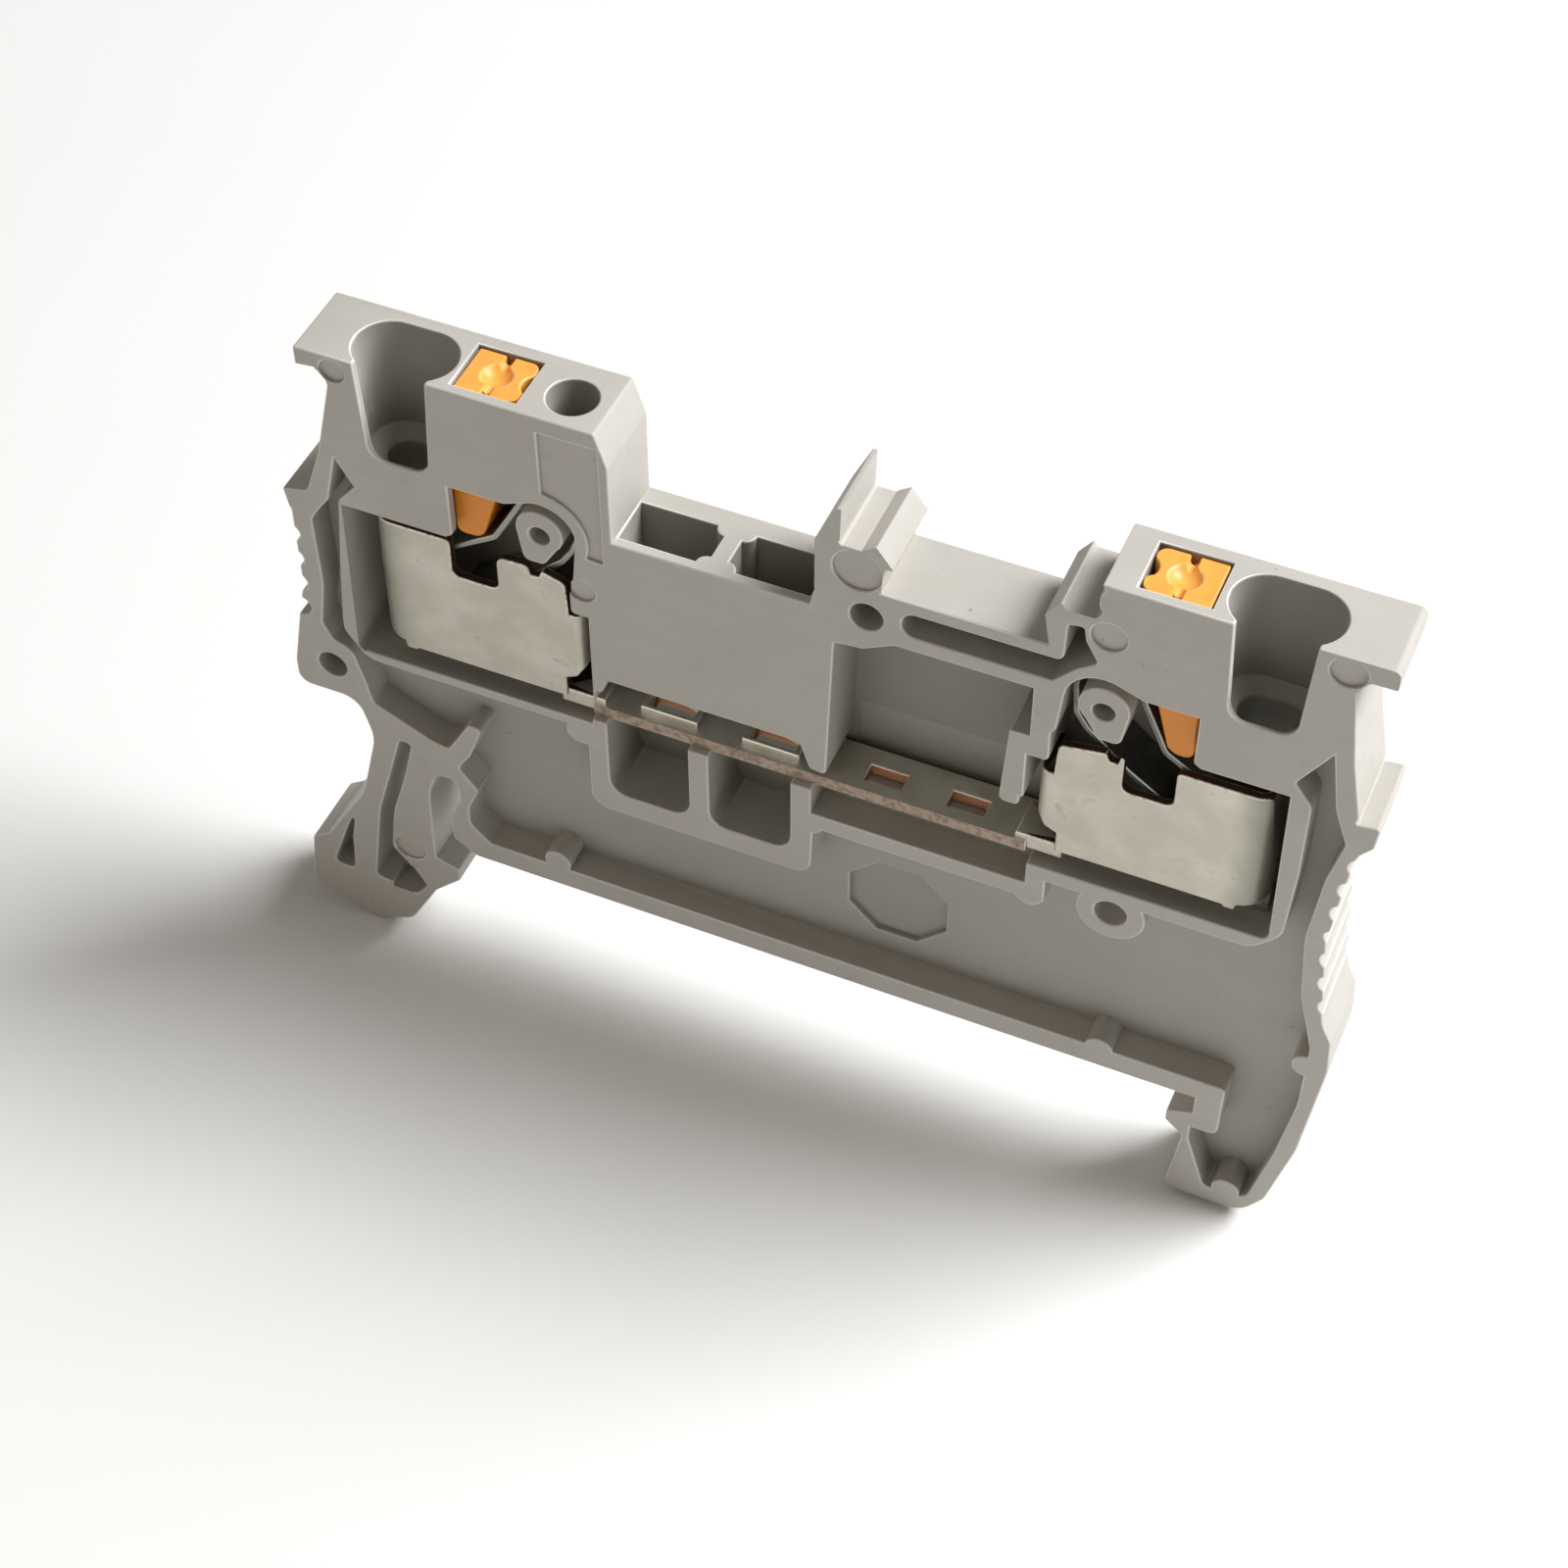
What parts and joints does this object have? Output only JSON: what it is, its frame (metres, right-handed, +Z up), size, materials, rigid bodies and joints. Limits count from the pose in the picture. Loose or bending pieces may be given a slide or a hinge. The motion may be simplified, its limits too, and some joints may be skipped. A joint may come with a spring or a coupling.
{
  "type": "spring terminal block",
  "caption": "Slim rail-mounted feed-through terminal block with funnel wire entries, push-to-release pushers, leaf spring clamps and a current bar seen from its open side.",
  "frame": {"origin": "middle of the rail seat, on the rail's top surface, in the plane of the open face", "axes": "+X along the block from the latch foot's end to the fixed hook's end, +Y from the open face to the closed face, which is along the rail, +Z up away from the rail"},
  "size_m": [0.0469, 0.0035, 0.0343],
  "materials": {
    "housing_plastic": "light grey moulded polyamide, fine satin",
    "tinned_copper": "dull tin plate on copper sheet, bare copper at the sheared edges",
    "spring_steel": "dark satin spring steel strip",
    "pusher_plastic": "orange moulded plastic, semi-gloss"
  },
  "bodies": {
    "block": {"housing": "housing_plastic", "current_bar": "tinned_copper", "clamp_spring_left": "spring_steel", "clamp_spring_right": "spring_steel"},
    "pusher_left": {"release_pusher_left": "pusher_plastic"},
    "pusher_right": {"release_pusher_right": "pusher_plastic"}
  },
  "joints": [
    {"name": "press_left", "type": "slide", "parent": "block", "child": "pusher_left", "axis": [0, 0, -1], "range_m": [0, 0.0015], "stiffness_N_per_m": 2000, "springref_m": -0.0005, "deforming": ["clamp_spring_left"]},
    {"name": "press_right", "type": "slide", "parent": "block", "child": "pusher_right", "axis": [0, 0, -1], "range_m": [0, 0.0015], "stiffness_N_per_m": 2000, "springref_m": -0.0005, "deforming": ["clamp_spring_right"]}
  ]
}
